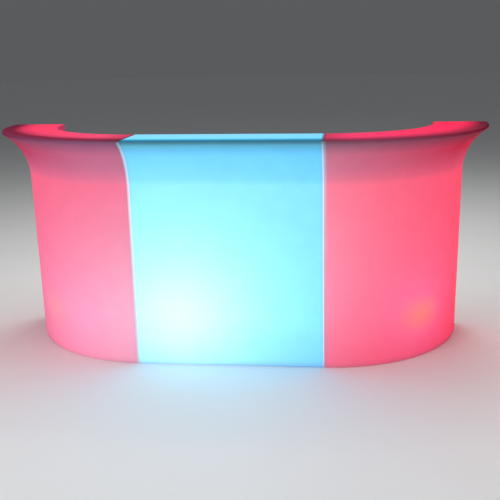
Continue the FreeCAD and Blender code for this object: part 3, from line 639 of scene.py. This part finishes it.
@dataclass(frozen=True)
class WorkedMetal:
    """Metal with the marks of its working in its colour, gloss and relief.

    Real marks are finer than a tenth of a millimetre; spacing_mm draws them coarser, so that they show.
    """

    name: str
    dark: str
    light: str
    rough: Range
    marks: Marks
    spacing_mm: float
    centre: Point = (0.0, 0.0, 0.0)
    brush_stretch: Point = (0.02, 1.0, 1.0)
    ring_height: float = 0.3
    mark_span: Range = (0.25, 0.75)
    relief: float = 0.3
    depth_mm: float = 0.05

    def pattern(self, tree: Tree) -> Socket:
        """Height of the marks: stretched noise, rings of the distance from the centre, or plain noise.

        Args:
            tree: Node tree to add to.

        Returns:
            Socket with the height.
        """
        place = add_node(tree, "TexCoord").outputs["Object"]
        scale = per_metre(self.spacing_mm)
        if self.marks is Marks.BRUSHED:
            drawn = add_node(tree, "Mapping", {"Vector": place, "Scale": self.brush_stretch}).outputs[0]
            return add_node(tree, "TexNoise", {"Vector": drawn, "Scale": scale, "Detail": 4.0}).outputs[0]
        grain = add_node(tree, "TexNoise", {"Vector": place, "Scale": scale, "Detail": 3.0}).outputs[0]
        if self.marks is Marks.CLOUDED:
            return grain
        away = add_node(tree, "VectorMath", {0: place, 1: self.centre}, operation="DISTANCE").outputs["Value"]
        turns = add_node(tree, "Math", {0: away, 1: 2 * math.pi * scale}, operation="MULTIPLY").outputs[0]
        rings = add_node(tree, "Math", {0: turns}, operation="SINE").outputs[0]
        both = add_node(tree, "Math", {0: rings, 1: self.ring_height, 2: grain}, operation="MULTIPLY_ADD")
        return both.outputs[0]

    def material(self) -> Material:
        """Bright ridges and duller valleys that follow the marks.

        Returns:
            The node material.
        """
        made, tree = new_material(self.name)
        marks = self.pattern(tree)
        share = add_node(tree, "MapRange", {0: marks, 1: self.mark_span[0], 2: self.mark_span[1]}).outputs[0]
        skin = add_node(tree, "Mix", {0: share, MIX_A: linear(self.dark), MIX_B: linear(self.light)},
                        **COLOURS)
        rough = add_node(tree, "MapRange", {0: share, 3: self.rough[1], 4: self.rough[0]})
        bump = add_node(tree, "Bump", {
            "Height": marks, "Strength": self.relief, "Distance": self.depth_mm / 1000,
        })
        close_material(tree, {
            "Base Color": skin.outputs[MIX_OUT], "Roughness": rough.outputs[0], "Metallic": 1.0,
            "Normal": bump.outputs[0],
        })
        return made


@dataclass(frozen=True)
class CircuitLaminate:
    """Glass-fibre laminate under green solder mask, with the copper runs showing as lighter bars.

    Real runs are about 0.3 mm wide; run_mm draws them coarser, so that they show.
    """

    name: str
    mask: str
    copper: str
    run_mm: float
    run_length: float = 3.0
    run_gap: float = 0.12
    rough: Range = (0.3, 0.45)
    ior: float = 1.55
    relief: float = 0.3
    depth_mm: float = 0.04

    def material(self) -> Material:
        """Rows of copper runs, one row every run_mm, each run as long as run_length rows are wide.

        Returns:
            The node material.
        """
        made, tree = new_material(self.name)
        place = add_node(tree, "TexCoord").outputs["Object"]
        upright = add_node(tree, "Mapping", {"Vector": place, "Rotation": (math.pi / 2, 0.0, 0.0)}).outputs[0]
        runs = add_node(tree, "TexBrick", {
            "Vector": upright, "Color1": linear(self.mask), "Color2": linear(self.copper),
            "Mortar": linear(self.mask), "Scale": per_metre(self.run_mm), "Mortar Size": self.run_gap,
            "Brick Width": self.run_length, "Row Height": 1.0,
        })
        bump = add_node(tree, "Bump", {
            "Height": runs.outputs[1], "Strength": self.relief, "Distance": self.depth_mm / 1000,
        })
        rough = add_node(tree, "MapRange", {0: runs.outputs[1], 3: self.rough[0], 4: self.rough[1]})
        close_material(tree, {
            "Base Color": runs.outputs[0], "Roughness": rough.outputs[0], "IOR": self.ior,
            "Normal": bump.outputs[0],
        })
        return made


@dataclass(frozen=True)
class LitResin:
    """Clear or opal resin in front of the light: brightest on the lamp's axis and dimmer towards its rim."""

    name: str
    skin: tuple[str, str]
    heart: str
    rim: str
    gain: float
    centre: Point
    reach: float
    haze_mm: float = 4.0
    rough: Range = (0.3, 0.5)
    ior: float = 1.49

    def material(self) -> Material:
        """Light that falls from heart to rim over the lamp's radius, in a skin with haze over haze_mm.

        Returns:
            The node material.
        """
        made, tree = new_material(self.name)
        place = add_node(tree, "TexCoord").outputs["Object"]
        away = add_node(tree, "VectorMath", {0: place, 1: self.centre}, operation="DISTANCE").outputs["Value"]
        share = add_node(tree, "MapRange", {0: away, 2: self.reach}, **EASED).outputs[0]
        glow = add_node(tree, "Mix", {0: share, MIX_A: linear(self.heart), MIX_B: linear(self.rim)},
                        **COLOURS)
        haze = add_node(tree, "TexNoise", {
            "Vector": place, "Scale": per_metre(self.haze_mm), "Detail": 2.0,
        }).outputs[0]
        skin = add_node(tree, "Mix", {0: haze, MIX_A: linear(self.skin[0]), MIX_B: linear(self.skin[1])},
                        **COLOURS)
        rough = add_node(tree, "MapRange", {0: haze, 3: self.rough[0], 4: self.rough[1]}).outputs[0]
        close_material(tree, {
            "Base Color": skin.outputs[MIX_OUT], "Roughness": rough, "IOR": self.ior,
            "Emission Color": glow.outputs[MIX_OUT], "Emission Strength": self.gain,
        })
        return made


@dataclass
class Store:
    """Materials made so far, so that pieces of one finish share one."""

    made: dict[str, Material] = field(default_factory=dict)

    def material(self, finish: Finish) -> Material:
        """The finish's material, made when it is first asked for.

        Args:
            finish: Finish to show.

        Returns:
            Its material.
        """
        if finish.name not in self.made:
            self.made[finish.name] = finish.material()
        return self.made[finish.name]

    def dress(self, node: str, finish: Finish) -> None:
        """Gives a CAD node its finish.

        Args:
            node: Name of the CAD node.
            finish: Finish to show on it.
        """
        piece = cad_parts[node]
        if not piece.material_slots:
            piece.data.materials.append(None)
        for place in piece.material_slots:
            place.material = self.material(finish)
        LOG.info("dressed %s in %s", node, finish.name)


def grid_mesh(name: str, points: np.ndarray, ends: Ends) -> bpy.types.Mesh:
    """Makes one smooth mesh from grids of points whose columns run round and close.

    Args:
        name: Mesh name.
        points: Points in metres, of shape (grids, rows, columns, 3).
        ends: How the rows end. A row that closes at a pole gets one point in its middle and a fan of
            triangles.

    Returns:
        The mesh.
    """
    grids, rows, columns, _ = points.shape
    number = np.arange(grids * rows * columns).reshape(grids, rows, columns)
    turn = np.roll(number, -1, axis=2)
    quads = np.stack([number, turn, np.roll(turn, -1, axis=1), np.roll(number, -1, axis=1)], axis=-1)
    if ends is not Ends.JOINED:
        quads = quads[:, :-1]
    corners, faces = points.reshape(-1, 3), quads.reshape(-1, 4).tolist()
    for row in ends.value:
        first, second = (turn, number) if row == 0 else (number, turn)
        pole = np.broadcast_to(len(corners) + np.arange(grids)[:, None], (grids, columns))
        faces += np.stack([first[:, row], second[:, row], pole], axis=-1).reshape(-1, 3).tolist()
        corners = np.concatenate([corners, points[:, row].mean(axis=1)])
    mesh = bpy.data.meshes.new(name)
    mesh.from_pydata(corners.tolist(), [], faces)
    mesh.polygons.foreach_set("use_smooth", np.ones(len(faces), bool))
    mesh.update()
    return mesh


def add_object(mesh: bpy.types.Mesh, finish: Material) -> bpy.types.Object:
    """Puts a mesh into the scene at the origin.

    Args:
        mesh: Mesh whose name the object takes.
        finish: Its material.

    Returns:
        The new object.
    """
    mesh.materials.append(finish)
    made = bpy.data.objects.new(mesh.name, mesh)
    bpy.context.scene.collection.objects.link(made)
    return made


def add_piece(mesh: bpy.types.Mesh, finish: Material, body: str) -> None:
    """Adds a new piece to a CAD body.

    Args:
        mesh: Mesh whose name the piece takes.
        finish: Its material.
        body: CAD body that it rides on.
    """
    piece = add_object(mesh, finish)
    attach(piece, body)
    LOG.info("made %s on %s", piece.name, body)


@dataclass
class Shells:
    """The three lit modules. The cyan lamp's bright spot also lights its red neighbours."""

    bright_spot: Point = (-0.249, -0.275, 0.201)
    # Base colours of the same polyethylene, darkened and tinted with each lamp's colour: painted light, so
    # that the walls look lit from inside under any lamp.
    cyan_lamp_tinted_base: tuple[str, str] = ("#18474F", "#1A4D57")
    red_lamp_tinted_base: tuple[str, str] = ("#5C1625", "#601828")
    # Places on a corner's front wall: degrees round the arc from its seam, and height.
    left_lamp: Range = (26.2, 0.125)
    warm_spot: Range = (42.5, 0.218)

    def corner_point(self, side: Side, sweep_deg: float, height: float) -> Point:
        """Point on a corner's front wall.

        Args:
            side: Which corner.
            sweep_deg: Angle round the arc from its seam.
            height: Height above the floor in metres.

        Returns:
            The point in metres.
        """
        sign = 1.0 if side is Side.RIGHT else -1.0
        sweep = math.radians(sweep_deg)
        return sign * (SEAM_X + WALL_RADIUS * math.sin(sweep)), ARC_Y - WALL_RADIUS * math.cos(sweep), height

    def centre(self) -> GlowingPolyethylene:
        """Finish of the straight module.

        Returns:
            Cyan glow, whitest at the lamp.
        """
        return GlowingPolyethylene(
            "cyan_lit_polyethylene", self.cyan_lamp_tinted_base, even="#6AC9FF", even_gain=1.1,
            lamp=Glow("#C9FFF7", gain=1.403, middle=self.bright_spot, spread=0.36),
            lamp_pad=LAMP_PLACES[Side.CENTRE], shading=CYAN_SHADING,
            seam_light="#F0F4FF", seam_reach=0.008, seam_shade="#FFF0FA", deck_seam_dim=1.0)

    def left(self) -> GlowingPolyethylene:
        """Finish of the left corner.

        Returns:
            Red glow with a weak warm spot, pale towards the centre's lamp.
        """
        lamp_at = self.corner_point(Side.LEFT, *self.left_lamp)
        return GlowingPolyethylene(
            "left_red_lit_polyethylene", self.red_lamp_tinted_base, even="#FF1D62", even_gain=0.81,
            lamp=Glow("#FF5882", gain=0.98, middle=lamp_at, spread=0.37),
            lamp_pad=LAMP_PLACES[Side.LEFT], shading=LEFT_SHADING, arc_x=-SEAM_X,
            seam_light="#EEECFA", seam_reach=0.011,
            spill=Glow("#2DF3FF", gain=0.502, middle=self.bright_spot, spread=0.632),
            spot=WarmSpot(self.corner_point(Side.LEFT, *self.warm_spot), strength=0.25))

    def right(self) -> GlowingPolyethylene:
        """Finish of the right corner.

        Returns:
            Red glow with a clear warm spot, a little paler towards the seam.
        """
        lamp_at = self.corner_point(Side.RIGHT, *self.warm_spot)
        return GlowingPolyethylene(
            "right_red_lit_polyethylene", self.red_lamp_tinted_base, even="#FF0A3C", even_gain=1.0,
            lamp=Glow("#77AFFF", gain=0.323, middle=lamp_at, spread=0.223),
            lamp_pad=LAMP_PLACES[Side.RIGHT], shading=RIGHT_SHADING, arc_x=SEAM_X,
            seam_light="#DABBD6", seam_reach=0.020,
            spill=Glow("#33DFFF", gain=3.05, middle=self.bright_spot, spread=0.473, power=1.4),
            spot=WarmSpot(lamp_at, strength=0.72))

    def build(self, store: Store) -> None:
        """Dresses the three shells.

        Args:
            store: Materials made so far.
        """
        store.dress("left_corner_shell", self.left())
        store.dress("centre_shell", self.centre())
        store.dress("right_corner_shell", self.right())


# EPDM rubber, moulded or cut from sheet: nearly black and dull, with a grey bloom.
RUBBER = MouldedPolymer("epdm_rubber", "#171819", "#232425", rough=(0.72, 0.86), ior=1.5, grain_mm=0.8,
                        grain_depth_mm=0.05, cloud_mm=12.0)


@dataclass
class SmallParts:
    """Feet, joining plates and fasteners that the whole counter shares."""

    # Stainless steel sheet, brushed along its length: fine streaks that stretch the highlights.
    steel: WorkedMetal = WorkedMetal(
        "brushed_stainless_steel", "#9EA1A4", "#C9CBCD", rough=(0.24, 0.42), marks=Marks.BRUSHED,
        spacing_mm=0.4)
    # Zinc-plated steel: cool grey, clouded by the bath.
    zinc: WorkedMetal = WorkedMetal(
        "zinc_plated_steel", "#8F959C", "#C2C7CC", rough=(0.28, 0.46), marks=Marks.CLOUDED, spacing_mm=1.5)
    # Brass bar, machined: warm yellow with small darker patches.
    brass: WorkedMetal = WorkedMetal(
        "machined_brass", "#A07A38", "#D9B66A", rough=(0.22, 0.4), marks=Marks.CLOUDED, spacing_mm=0.6)
    # Brass, nickel-plated: warm silver.
    nickel: WorkedMetal = WorkedMetal(
        "nickel_plated_brass", "#9C958A", "#CFC9BE", rough=(0.2, 0.36), marks=Marks.CLOUDED, spacing_mm=1.0)

    def build(self, store: Store) -> None:
        """Dresses each shared node.

        Args:
            store: Materials made so far.
        """
        for node, finish in {
            "foot_pads": RUBBER, "left_joining_plate": self.steel, "right_joining_plate": self.steel,
            "plate_screws": self.zinc, "lamp_screws": self.zinc, "flap_pins": self.zinc,
            "plate_inserts": self.brass, "lamp_inserts": self.brass, "panel_nuts": self.nickel,
        }.items():
            store.dress(node, finish)


@dataclass
class LampUnit:
    """One lamp in a module's rear wall. Its own axes: u to the bartender's right, v up, w out of the wall."""

    side: Side
    origin: Point
    out: Point
    flange_face: float = 0.007
    bead_radius: float = 0.081
    bead_section: Range = (0.0020, 0.0012)
    bead_turns: int = 128
    button_place: Range = (-0.036, 0.022)
    button_top: float = 0.012
    bezel_face: float = 0.009
    button_ring_radius: float = 0.0036
    button_ring_section: Range = (0.0004, 0.0003)
    button_ring_turns: int = 48
    section_turns: int = 14
    flap_face: float = 0.0118
    flap_centre: float = 0.036
    ridge_heights: tuple[float, float, float] = (0.0145, 0.0170, 0.0195)
    ridge_half_length: float = 0.0075
    ridge_section: Range = (0.00084, 0.0007)
    ridge_rows: int = 20
    board_face: float = -0.06

    def placed(self, local: np.ndarray) -> np.ndarray:
        """Turns points from the lamp's own axes to the counter's frame.

        Args:
            local: Points in u, v and w.

        Returns:
            Points in X, Y and Z.
        """
        v, w = np.array([0.0, 0.0, 1.0]), np.array(self.out)
        return np.array(self.origin) + local @ np.stack([np.cross(v, w), v, w])

    def point(self, u: float, v: float, w: float) -> Point:
        """One point of the lamp's own axes in the counter's frame."""
        return tuple(self.placed(np.array([u, v, w])).tolist())

    def ring(self, radius: float, section: Range, centre: Point, turns: int) -> np.ndarray:
        """Closed ring with an elliptical section.

        At angle a about the ring and b about its section, the point is (radius + half width * cos b) from the
        centre in the direction a, and half height * sin b out of the wall. Angle b runs backwards, so that
        faces look out.

        Args:
            radius: Radius of the section's centre line.
            section: Half width and half height of the section.
            centre: Ring's centre in u, v and w.
            turns: Number of points round the ring.

        Returns:
            Points of shape (1, turns, section_turns, 3).
        """
        a = np.linspace(0.0, 2 * math.pi, turns, endpoint=False)[None, :, None]
        b = np.linspace(2 * math.pi, 0.0, self.section_turns, endpoint=False)[None, None, :]
        reach = radius + section[0] * np.cos(b)
        local = np.broadcast_arrays(reach * np.cos(a), reach * np.sin(a), section[1] * np.sin(b))
        return self.placed(np.array(centre) + np.stack(local, axis=-1))

    def ridges(self) -> np.ndarray:
        """Rounded grip ridges across the cover.

        Along t from -1 to 1 and at angle b round the section, the point is half length * t across, and
        (1 - t^8)^(1/2) times the elliptical section away from the ridge's line. The rows are closer near the
        ends.

        Returns:
            Points of shape (ridges, ridge_rows, section_turns, 3).
        """
        t = np.sin(np.linspace(-math.pi / 2, math.pi / 2, self.ridge_rows + 2)[1:-1])[None, :, None]
        b = np.linspace(0.0, 2 * math.pi, self.section_turns, endpoint=False)[None, None, :]
        thick = np.sqrt(1.0 - t ** 8)
        local = np.broadcast_arrays(
            self.flap_centre + self.ridge_half_length * t,
            np.array(self.ridge_heights)[:, None, None] + self.ridge_section[0] * thick * np.cos(b),
            self.flap_face + self.ridge_section[1] * thick * np.sin(b),
        )
        return self.placed(np.stack(local, axis=-1))

    def finishes(self) -> dict[str, Finish]:
        """Finishes of the unit's CAD nodes.

        Returns:
            Node name without its side to finish.
        """
        tag = self.side.value
        heart, rim = ("#F4FFFF", "#7FE4F2") if self.side is Side.CENTRE else ("#FFE6EA", "#F04A6A")
        board = self.point(0.0, 0.0, self.board_face)
        bezel = self.point(*self.button_place, self.bezel_face)
        return {
            "lamp_gasket": RUBBER,
            # ABS, moulded with a spark-eroded grain: pale grey satin.
            "lamp_housing": MouldedPolymer(
                "grained_abs", "#A9ABAE", "#BCBEC0", rough=(0.42, 0.58), ior=1.53, grain_mm=0.9,
                grain_depth_mm=0.05, cloud_mm=45.0),
            # Aluminium-cored board under white solder mask, printed: white, half glossy and slightly rippled.
            "led_board": MouldedPolymer(
                "white_solder_mask", "#DADBD8", "#ECEDEA", rough=(0.3, 0.42), ior=1.55, grain_mm=2.0,
                grain_depth_mm=0.01, cloud_mm=20.0),
            # Silicone with phosphor, cast over the light chips: yellow where it isn't lit.
            "led_chips": LitResin(
                f"{tag}_chip_silicone", ("#D2C270", "#DCCC7E"), heart, rim, gain=2.0, centre=board,
                reach=0.07),
            # Opal acrylic, moulded: milky, brightest in the middle.
            "diffuser_dome": LitResin(
                f"{tag}_opal_acrylic", ("#E2E4E4", "#E9EBEB"), heart, rim, gain=1.5, centre=board,
                reach=0.09),
            # PVC shrink wrap: glossy blue with a slight ripple.
            "battery_pack": MouldedPolymer(
                "pvc_shrink_wrap", "#1B3A78", "#254A90", rough=(0.2, 0.32), ior=1.54, grain_mm=6.0,
                grain_depth_mm=0.1, cloud_mm=30.0),
            # Glass-fibre laminate, etched and coated: green, with lighter runs.
            "control_board": CircuitLaminate("circuit_laminate", "#0F4A28", "#2C7A48", run_mm=1.6),
            # PVC sheath, extruded: black and half dull.
            "lamp_lead": MouldedPolymer(
                "pvc_sheath", "#141414", "#1F1F1F", rough=(0.5, 0.62), ior=1.54, grain_mm=1.0,
                grain_depth_mm=0.03, cloud_mm=8.0),
            # Acetal, moulded: black and a little waxy.
            "power_button": MouldedPolymer(
                "black_acetal", "#131315", "#1E1E21", rough=(0.34, 0.46), ior=1.48, grain_mm=0.5,
                grain_depth_mm=0.02, cloud_mm=6.0),
            # Stainless steel, turned: rings about the button that catch the light.
            "button_switch": WorkedMetal(
                f"{tag}_turned_stainless_steel", "#9A9B9D", "#CDCED0", rough=(0.2, 0.36),
                marks=Marks.TURNED, spacing_mm=0.35, centre=bezel),
            # Glass-filled nylon, moulded: matt black.
            "charge_socket": MouldedPolymer(
                "glass_filled_nylon", "#0E0E0F", "#171718", rough=(0.5, 0.64), ior=1.53, grain_mm=0.4,
                grain_depth_mm=0.02, cloud_mm=5.0),
            # Thermoplastic elastomer, moulded: dark grey and dull.
            "socket_flap": MouldedPolymer(
                "soft_elastomer", "#1C1D1F", "#292A2C", rough=(0.62, 0.76), ior=1.5, grain_mm=0.6,
                grain_depth_mm=0.04, cloud_mm=7.0),
        }

    def build(self, store: Store) -> None:
        """Dresses the unit's nodes, then adds the flange's bead, the button's ring and the cover's ridges.

        Args:
            store: Materials made so far.
        """
        tag, finishes = self.side.value, self.finishes()
        for name, finish in finishes.items():
            store.dress(f"{tag}_{name}", finish)
        bead = self.ring(self.bead_radius, self.bead_section, (0.0, 0.0, self.flange_face), self.bead_turns)
        add_piece(grid_mesh(f"{tag}_flange_bead", bead, Ends.JOINED),
                  store.material(finishes["lamp_housing"]), "counter")
        button = (*self.button_place, self.button_top)
        rim = self.ring(self.button_ring_radius, self.button_ring_section, button, self.button_ring_turns)
        add_piece(grid_mesh(f"{tag}_button_ring", rim, Ends.JOINED),
                  store.material(finishes["power_button"]), f"{tag}_button")
        add_piece(grid_mesh(f"{tag}_cover_ridges", self.ridges(), Ends.POLES),
                  store.material(finishes["socket_flap"]), f"{tag}_flap")


@dataclass(frozen=True)
class FloorPaint:
    """Matt floor paint, rolled: pale grey with broad, faint clouds."""

    name: str = "matt_floor_paint"
    dark: str = "#EFEFED"
    light: str = "#F4F4F2"
    cloud_mm: float = 700.0
    rough: float = 0.8

    def material(self) -> Material:
        """Colour clouds over cloud_mm.

        Returns:
            The node material.
        """
        made, tree = new_material(self.name)
        place = add_node(tree, "TexCoord").outputs["Object"]
        cloud = add_node(tree, "TexNoise", {
            "Vector": place, "Scale": per_metre(self.cloud_mm), "Detail": 3.0,
        }).outputs[0]
        skin = add_node(tree, "Mix", {0: cloud, MIX_A: linear(self.dark), MIX_B: linear(self.light)},
                        **COLOURS)
        close_material(tree, {"Base Color": skin.outputs[MIX_OUT], "Roughness": self.rough})
        return made


@dataclass(frozen=True)
class Softbox:
    """Square softbox that looks at a target. Lengths are in metres."""

    name: str
    place: Point
    target: Point
    size: float
    watts: float

    def build(self) -> None:
        """Adds the light to the scene."""
        data = bpy.data.lights.new(self.name, "AREA")
        data.shape, data.size, data.energy = "SQUARE", self.size, self.watts
        box = bpy.data.objects.new(self.name, data)
        box.location = self.place
        box.rotation_mode = "QUATERNION"
        box.rotation_quaternion = (Vector(self.target) - Vector(self.place)).to_track_quat("-Z", "Y")
        bpy.context.scene.collection.objects.link(box)


@dataclass
class Studio:
    """Pale floor, soft light and the camera where the photographer stood."""

    # Camera: place in metres, and turn to the right, tilt down and roll in radians.
    camera_place: Point = (0.58378, -3.80966, 1.49112)
    yaw: float = -0.10564
    pitch: float = 0.21964
    roll: float = 0.0169
    lens_mm: float = 57.16
    sensor_mm: float = 36.0
    shift: Range = (-0.04248, -0.05081)
    floor_radius: float = 40.0
    floor_height: float = -0.0005
    floor_grid: tuple[int, int] = (24, 96)
    horizon: str = "#595B5D"
    zenith: str = "#636567"
    softboxes: tuple[Softbox, ...] = (
        Softbox("softbox_above", (0.0, -0.4, 4.4), target=(0.0, 0.0, 0.5), size=4.5, watts=120.0),
        Softbox("softbox_front", (-2.6, -4.0, 3.2), target=(0.0, 0.0, 0.5), size=2.5, watts=45.0),
        Softbox("softbox_rear", (0.4, 2.6, 4.4), target=(0.0, 0.3, 0.4), size=2.5, watts=60.0),
    )

    def floor(self, store: Store) -> None:
        """Disc of rings, whose radius r grows evenly: at angle a the point is (r cos a, r sin a).

        Args:
            store: Materials made so far.
        """
        rows, columns = self.floor_grid
        r = np.linspace(0.0, self.floor_radius, rows + 1)[1:, None]
        a = np.linspace(2 * math.pi, 0.0, columns, endpoint=False)[None, :]
        height = np.full((rows, columns), self.floor_height)
        points = np.stack([r * np.cos(a), r * np.sin(a), height], axis=-1)
        add_object(grid_mesh("studio_floor", points[None], Ends.DISC), store.material(FloorPaint()))

    def backdrop(self) -> None:
        """Dim sky, a little brighter overhead, so that it meets the far floor without a line."""
        world = bpy.data.worlds.new("studio")
        world.use_nodes = True
        tree = world.node_tree
        up = add_node(tree, "SeparateXYZ", {0: add_node(tree, "TexCoord").outputs["Object"]}).outputs["Z"]
        sky = add_node(tree, "ValToRGB", {0: up}, ((0.0, self.horizon), (1.0, self.zenith))).outputs[0]
        tree.links.new(sky, tree.nodes["Background"].inputs["Color"])
        bpy.context.scene.world = world

    def camera(self) -> None:
        """Sets the camera by the directions that its three axes have after turn, tilt and roll."""
        flat = math.cos(self.pitch)
        ahead = Vector((math.sin(self.yaw) * flat, math.cos(self.yaw) * flat, -math.sin(self.pitch)))
        level = Vector((math.cos(self.yaw), -math.sin(self.yaw), 0.0))
        down = ahead.cross(level)
        right = level * math.cos(self.roll) + down * math.sin(self.roll)
        low = down * math.cos(self.roll) - level * math.sin(self.roll)
        data = bpy.data.cameras.new("photo_camera")
        data.lens, data.sensor_width = self.lens_mm, self.sensor_mm
        data.shift_x, data.shift_y = self.shift
        made = bpy.data.objects.new("photo_camera", data)
        turned = Matrix((right, -low, -ahead)).transposed().to_4x4()
        made.matrix_world = Matrix.Translation(self.camera_place) @ turned
        bpy.context.scene.collection.objects.link(made)
        bpy.context.scene.camera = made

    def build(self, store: Store) -> None:
        """Sets up the floor, the light and the camera.

        Args:
            store: Materials made so far.
        """
        self.floor(store)
        self.backdrop()
        for box in self.softboxes:
            box.build()
        self.camera()
        bpy.context.scene.view_settings.view_transform = "Standard"


def main() -> None:
    """Builds every class in order."""
    logging.basicConfig(level=logging.INFO, format="%(message)s")
    store = Store()
    lamps = [LampUnit(side, LAMP_PLACES[side], LAMP_AIMS[side]) for side in LAMP_PLACES]
    for part in (Studio(), Shells(), SmallParts(), *lamps):
        part.build(store)


if __name__ == "__main__":
    main()
